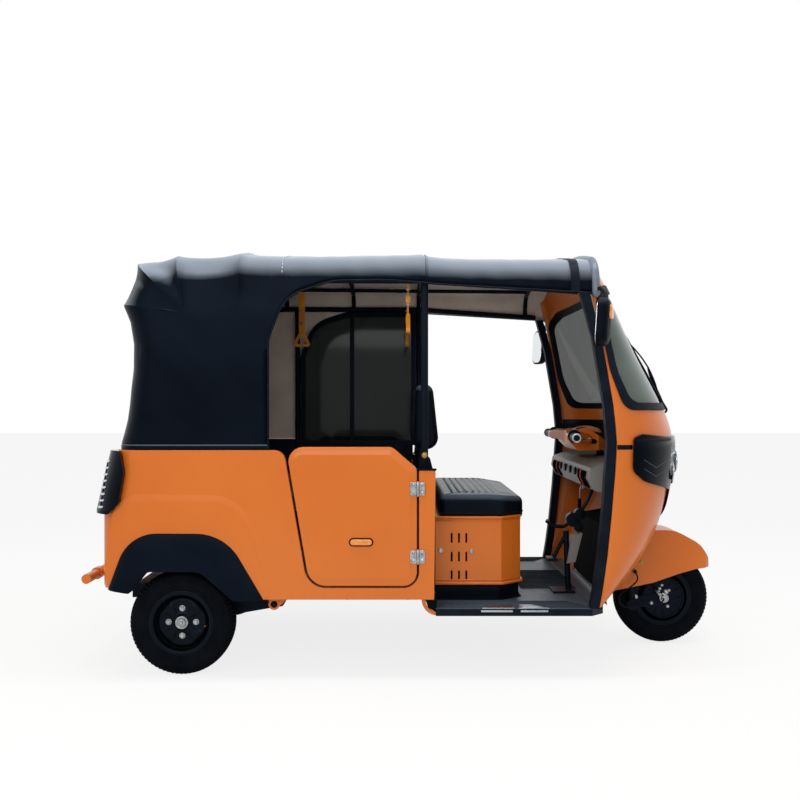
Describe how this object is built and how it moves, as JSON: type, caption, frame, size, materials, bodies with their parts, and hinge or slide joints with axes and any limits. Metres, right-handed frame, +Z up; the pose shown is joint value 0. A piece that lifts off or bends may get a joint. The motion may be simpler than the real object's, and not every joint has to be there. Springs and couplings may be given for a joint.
{
  "type": "auto rickshaw",
  "caption": "Three-wheeled passenger taxi with an orange body, side doors, a soft black canopy, bench seats, handlebar steering and a curved windscreen.",
  "frame": {"origin": "on the ground under the middle of the overall box", "axes": "+X forward, +Y to the vehicle's left, +Z up"},
  "size_m": [2.6049, 1.672, 1.67],
  "materials": {
    "orange_paint": "glossy orange enamel",
    "black_steel": "satin black paint",
    "bare_steel": "machined",
    "cast_aluminium": "as cast",
    "tyre_rubber": "matt",
    "black_rubber": "satin",
    "grey_plastic": "textured",
    "black_plastic": "glossy",
    "smoked_plastic": "glossy, smoked red",
    "orange_plastic": "glossy",
    "canopy_vinyl": "soft sheen coated cloth",
    "seat_vinyl": "satin black vinyl",
    "clear_glass": "clear",
    "mirror_glass": "silvered"
  },
  "bodies": {
    "body": {"rear_quarters": "orange_paint", "rear_panel": "orange_paint", "wheel_flares": "grey_plastic", "door_hinges": "black_steel", "chassis_rails": "black_steel", "crossmembers": "black_steel", "rear_suspension": "black_steel", "engine": "cast_aluminium", "drive_shafts": "bare_steel", "passenger_floor": "black_steel", "floor_tray": "black_steel", "canopy_roof": "canopy_vinyl", "canopy_sides": "canopy_vinyl", "canopy_back": "canopy_vinyl", "roof_frame": "black_steel", "cabin_pillars": "black_steel", "partition_rails": "black_steel", "side_window_frame": "black_steel", "window_panes": "clear_glass", "front_shell": "orange_paint", "windscreen_seal": "black_rubber", "windscreen_glass": "clear_glass", "headlamp_surround": "black_plastic", "headlamp_lenses": "clear_glass", "opening_trims": "black_rubber", "wheel_housing": "black_steel", "dashboard": "grey_plastic", "seat_box": "orange_paint", "seat_plinth": "black_steel", "driver_seat": "seat_vinyl", "passenger_seat_base": "orange_paint", "passenger_seat": "seat_vinyl", "rear_bumper": "orange_paint", "tail_lamps": "smoked_plastic", "mirror_housings": "black_plastic", "mirror_glasses": "mirror_glass", "hand_straps": "orange_plastic", "brake_pedal": "black_steel", "wiper": "black_steel"},
    "front_wheel": {"front_tyre": "tyre_rubber", "front_rim": "black_steel"},
    "rear_wheel_right": {"rear_right_tyre": "tyre_rubber", "rear_right_rim": "black_steel"},
    "rear_wheel_left": {"rear_left_tyre": "tyre_rubber", "rear_left_rim": "black_steel"},
    "steering": {"steering_column": "black_steel", "front_link": "black_steel", "handlebar": "black_steel", "headset_cover": "orange_paint", "front_fender": "orange_paint", "brake_hose": "black_rubber"},
    "right_door": {"door_right": "orange_paint"},
    "left_door": {"door_left": "orange_paint"},
    "rear_lid": {"engine_cover": "orange_paint"}
  },
  "joints": [
    {"name": "steering_turn", "type": "hinge", "parent": "body", "child": "steering", "pos_m": [1.0675, 0, 0.202], "axis": [-0.342, 0, 0.9397], "range_deg": [-40, 40]},
    {"name": "front_wheel_spin", "type": "hinge", "parent": "steering", "child": "front_wheel", "pos_m": [1.0995, 0, 0.202], "axis": [0, 1, 0], "continuous": true},
    {"name": "rear_wheel_right_spin", "type": "hinge", "parent": "body", "child": "rear_wheel_right", "pos_m": [-0.8905, -0.51, 0.202], "axis": [0, 1, 0], "continuous": true},
    {"name": "rear_wheel_left_spin", "type": "hinge", "parent": "body", "child": "rear_wheel_left", "pos_m": [-0.8905, 0.51, 0.202], "axis": [0, 1, 0], "continuous": true},
    {"name": "door_right_swing", "type": "hinge", "parent": "body", "child": "right_door", "pos_m": [0.0195, -0.625, 0.6], "axis": [0, 0, 1], "range_deg": [0, 100]},
    {"name": "door_left_swing", "type": "hinge", "parent": "body", "child": "left_door", "pos_m": [0.0195, 0.625, 0.6], "axis": [0, 0, -1], "range_deg": [0, 100]},
    {"name": "engine_cover_lift", "type": "hinge", "parent": "body", "child": "rear_lid", "pos_m": [-1.2075, 0, 0.716], "axis": [0, 1, 0], "range_deg": [0, 70]}
  ]
}
